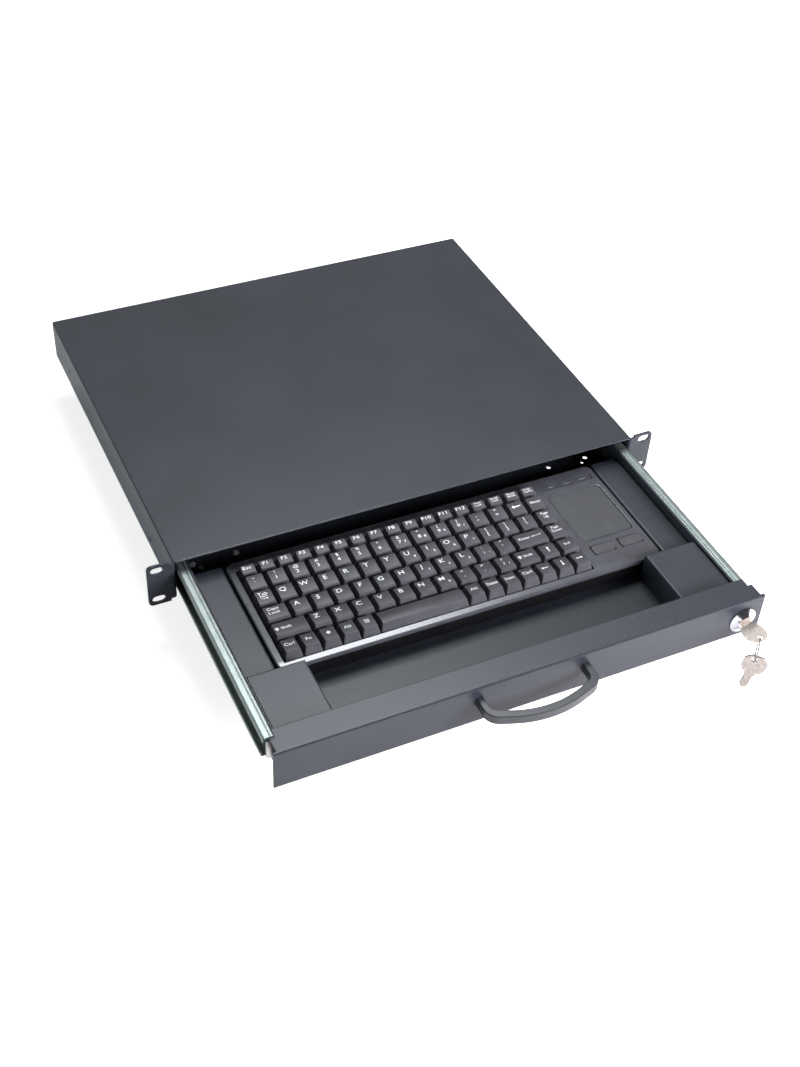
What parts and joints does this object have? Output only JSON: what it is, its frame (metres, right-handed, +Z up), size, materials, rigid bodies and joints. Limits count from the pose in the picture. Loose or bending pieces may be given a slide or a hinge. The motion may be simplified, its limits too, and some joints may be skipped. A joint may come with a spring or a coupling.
{
  "type": "rack keyboard drawer",
  "caption": "One-unit rack drawer on ball-bearing slides: a lockable front with a bow handle, a compact keyboard with touchpad, palm plates and a shallow recess.",
  "frame": {"origin": "middle of the four ear slots, on the front face of the ears", "axes": "+X to the right seen from the front, +Y into the rack, +Z up"},
  "size_m": [0.4826, 0.6172, 0.0794],
  "materials": {
    "charcoal_powder_coat": "fine-grained matt powder coat",
    "rail_zinc": "zinc plated, faintly greenish",
    "cage_steel": "plain rolled",
    "ball_steel": "polished",
    "screw_steel": "zinc plated",
    "handle_coat": "satin",
    "lock_chrome": "polished",
    "key_nickel": "nickel plated",
    "keyboard_case": "fine texture",
    "guide_plastic": "plain",
    "rubber": "plain",
    "touchpad_skin": "smooth",
    "indicator_gloss": "smoked gloss",
    "button_plastic": "fine texture",
    "keycap_plastic": "fine texture"
  },
  "bodies": {
    "housing": {"top_cover": "charcoal_powder_coat", "left_side_plate": "charcoal_powder_coat", "right_side_plate": "charcoal_powder_coat", "left_cabinet_rail": "rail_zinc", "right_cabinet_rail": "rail_zinc", "strike_plate": "charcoal_powder_coat"},
    "drawer": {"tray": "charcoal_powder_coat", "front_panel": "charcoal_powder_coat", "left_palm_plate": "charcoal_powder_coat", "right_palm_plate": "charcoal_powder_coat", "left_deck": "charcoal_powder_coat", "right_deck": "charcoal_powder_coat", "left_drawer_rail": "rail_zinc", "right_drawer_rail": "rail_zinc", "rail_screws": "screw_steel", "handle": "handle_coat", "handle_screws": "screw_steel", "lock_body": "lock_chrome", "lock_nut": "screw_steel", "keyboard_base": "keyboard_case", "keyboard_cover": "keyboard_case", "key_guide_plate": "guide_plastic", "contact_mat": "rubber", "touchpad": "touchpad_skin", "indicator_window": "indicator_gloss", "keyboard_feet": "rubber"},
    "left_cage": {"left_ball_cage": "cage_steel", "left_balls": "ball_steel"},
    "right_cage": {"right_ball_cage": "cage_steel", "right_balls": "ball_steel"},
    "lock_cylinder": {"lock_plug": "lock_chrome", "lock_cam": "screw_steel", "cam_screw": "screw_steel", "lock_key": "key_nickel"},
    "ring": {"key_ring": "key_nickel"},
    "hanging_key": {"spare_key": "key_nickel"},
    "left_touch_button": {"left_touch_button": "button_plastic"},
    "right_touch_button": {"right_touch_button": "button_plastic"},
    "function_keys": {"function_keys": "keycap_plastic"},
    "number_keys": {"number_keys": "keycap_plastic"},
    "backspace_key": {"backspace_key": "keycap_plastic"},
    "home_key": {"home_key": "keycap_plastic"},
    "tab_key": {"tab_key": "keycap_plastic"},
    "upper_letter_keys": {"upper_letter_keys": "keycap_plastic"},
    "page_up_key": {"page_up_key": "keycap_plastic"},
    "caps_key": {"caps_key": "keycap_plastic"},
    "middle_letter_keys": {"middle_letter_keys": "keycap_plastic"},
    "enter_key": {"enter_key": "keycap_plastic"},
    "page_down_key": {"page_down_key": "keycap_plastic"},
    "left_shift_key": {"left_shift_key": "keycap_plastic"},
    "lower_letter_keys": {"lower_letter_keys": "keycap_plastic"},
    "right_shift_key": {"right_shift_key": "keycap_plastic"},
    "up_arrow_key": {"up_arrow_key": "keycap_plastic"},
    "end_key": {"end_key": "keycap_plastic"},
    "left_modifier_keys": {"left_modifier_keys": "keycap_plastic"},
    "space_bar": {"space_bar": "keycap_plastic"},
    "right_modifier_keys": {"right_modifier_keys": "keycap_plastic"},
    "left_arrow_key": {"left_arrow_key": "keycap_plastic"},
    "down_arrow_key": {"down_arrow_key": "keycap_plastic"},
    "right_arrow_key": {"right_arrow_key": "keycap_plastic"}
  },
  "joints": [
    {"name": "drawer_slide", "type": "slide", "parent": "housing", "child": "drawer", "axis": [0, -1, 0], "range_m": [-0.2161, 0]},
    {"name": "left_cage_slide", "type": "slide", "parent": "housing", "child": "left_cage", "axis": [0, -1, 0], "range_m": [-0.10805, 0]},
    {"name": "right_cage_slide", "type": "slide", "parent": "housing", "child": "right_cage", "axis": [0, -1, 0], "range_m": [-0.10805, 0]},
    {"name": "lock_turn", "type": "hinge", "parent": "drawer", "child": "lock_cylinder", "pos_m": [0.1978, -0.2161, -0.003], "axis": [0, -1, 0], "range_deg": [0, 90]},
    {"name": "ring_hang", "type": "hinge", "parent": "lock_cylinder", "child": "ring", "pos_m": [0.1998, -0.2388, -0.003], "axis": [0, -1, 0], "range_deg": [-90, 0]},
    {"name": "spare_key_swing", "type": "hinge", "parent": "ring", "child": "hanging_key", "pos_m": [0.19638, -0.24288, -0.0219], "axis": [-0.6428, -0.766, 0], "range_deg": [-25, 25]},
    {"name": "left_touch_button_press", "type": "slide", "parent": "drawer", "child": "left_touch_button", "axis": [0, 0, -1], "range_m": [0, 0.0008], "stiffness_N_per_m": 400, "springref_m": -0.0012},
    {"name": "right_touch_button_press", "type": "slide", "parent": "drawer", "child": "right_touch_button", "axis": [0, 0, -1], "range_m": [0, 0.0008], "stiffness_N_per_m": 400, "springref_m": -0.0012},
    {"name": "function_keys_press", "type": "slide", "parent": "drawer", "child": "function_keys", "axis": [0, 0, -1], "range_m": [0, 0.003], "stiffness_N_per_m": 250, "springref_m": -0.003},
    {"name": "number_keys_press", "type": "slide", "parent": "drawer", "child": "number_keys", "axis": [0, 0, -1], "range_m": [0, 0.003], "stiffness_N_per_m": 250, "springref_m": -0.003},
    {"name": "backspace_key_press", "type": "slide", "parent": "drawer", "child": "backspace_key", "axis": [0, 0, -1], "range_m": [0, 0.003], "stiffness_N_per_m": 250, "springref_m": -0.003},
    {"name": "home_key_press", "type": "slide", "parent": "drawer", "child": "home_key", "axis": [0, 0, -1], "range_m": [0, 0.003], "stiffness_N_per_m": 250, "springref_m": -0.003},
    {"name": "tab_key_press", "type": "slide", "parent": "drawer", "child": "tab_key", "axis": [0, 0, -1], "range_m": [0, 0.003], "stiffness_N_per_m": 250, "springref_m": -0.003},
    {"name": "upper_letter_keys_press", "type": "slide", "parent": "drawer", "child": "upper_letter_keys", "axis": [0, 0, -1], "range_m": [0, 0.003], "stiffness_N_per_m": 250, "springref_m": -0.003},
    {"name": "page_up_key_press", "type": "slide", "parent": "drawer", "child": "page_up_key", "axis": [0, 0, -1], "range_m": [0, 0.003], "stiffness_N_per_m": 250, "springref_m": -0.003},
    {"name": "caps_key_press", "type": "slide", "parent": "drawer", "child": "caps_key", "axis": [0, 0, -1], "range_m": [0, 0.003], "stiffness_N_per_m": 250, "springref_m": -0.003},
    {"name": "middle_letter_keys_press", "type": "slide", "parent": "drawer", "child": "middle_letter_keys", "axis": [0, 0, -1], "range_m": [0, 0.003], "stiffness_N_per_m": 250, "springref_m": -0.003},
    {"name": "enter_key_press", "type": "slide", "parent": "drawer", "child": "enter_key", "axis": [0, 0, -1], "range_m": [0, 0.003], "stiffness_N_per_m": 250, "springref_m": -0.003},
    {"name": "page_down_key_press", "type": "slide", "parent": "drawer", "child": "page_down_key", "axis": [0, 0, -1], "range_m": [0, 0.003], "stiffness_N_per_m": 250, "springref_m": -0.003},
    {"name": "left_shift_key_press", "type": "slide", "parent": "drawer", "child": "left_shift_key", "axis": [0, 0, -1], "range_m": [0, 0.003], "stiffness_N_per_m": 250, "springref_m": -0.003},
    {"name": "lower_letter_keys_press", "type": "slide", "parent": "drawer", "child": "lower_letter_keys", "axis": [0, 0, -1], "range_m": [0, 0.003], "stiffness_N_per_m": 250, "springref_m": -0.003},
    {"name": "right_shift_key_press", "type": "slide", "parent": "drawer", "child": "right_shift_key", "axis": [0, 0, -1], "range_m": [0, 0.003], "stiffness_N_per_m": 250, "springref_m": -0.003},
    {"name": "up_arrow_key_press", "type": "slide", "parent": "drawer", "child": "up_arrow_key", "axis": [0, 0, -1], "range_m": [0, 0.003], "stiffness_N_per_m": 250, "springref_m": -0.003},
    {"name": "end_key_press", "type": "slide", "parent": "drawer", "child": "end_key", "axis": [0, 0, -1], "range_m": [0, 0.003], "stiffness_N_per_m": 250, "springref_m": -0.003},
    {"name": "left_modifier_keys_press", "type": "slide", "parent": "drawer", "child": "left_modifier_keys", "axis": [0, 0, -1], "range_m": [0, 0.003], "stiffness_N_per_m": 250, "springref_m": -0.003},
    {"name": "space_bar_press", "type": "slide", "parent": "drawer", "child": "space_bar", "axis": [0, 0, -1], "range_m": [0, 0.003], "stiffness_N_per_m": 250, "springref_m": -0.003},
    {"name": "right_modifier_keys_press", "type": "slide", "parent": "drawer", "child": "right_modifier_keys", "axis": [0, 0, -1], "range_m": [0, 0.003], "stiffness_N_per_m": 250, "springref_m": -0.003},
    {"name": "left_arrow_key_press", "type": "slide", "parent": "drawer", "child": "left_arrow_key", "axis": [0, 0, -1], "range_m": [0, 0.003], "stiffness_N_per_m": 250, "springref_m": -0.003},
    {"name": "down_arrow_key_press", "type": "slide", "parent": "drawer", "child": "down_arrow_key", "axis": [0, 0, -1], "range_m": [0, 0.003], "stiffness_N_per_m": 250, "springref_m": -0.003},
    {"name": "right_arrow_key_press", "type": "slide", "parent": "drawer", "child": "right_arrow_key", "axis": [0, 0, -1], "range_m": [0, 0.003], "stiffness_N_per_m": 250, "springref_m": -0.003}
  ],
  "couplings": [
    {"joint": "left_cage_slide", "follows": "drawer_slide", "ratio": 0.5},
    {"joint": "right_cage_slide", "follows": "drawer_slide", "ratio": 0.5},
    {"joint": "ring_hang", "follows": "lock_turn", "ratio": -1}
  ]
}
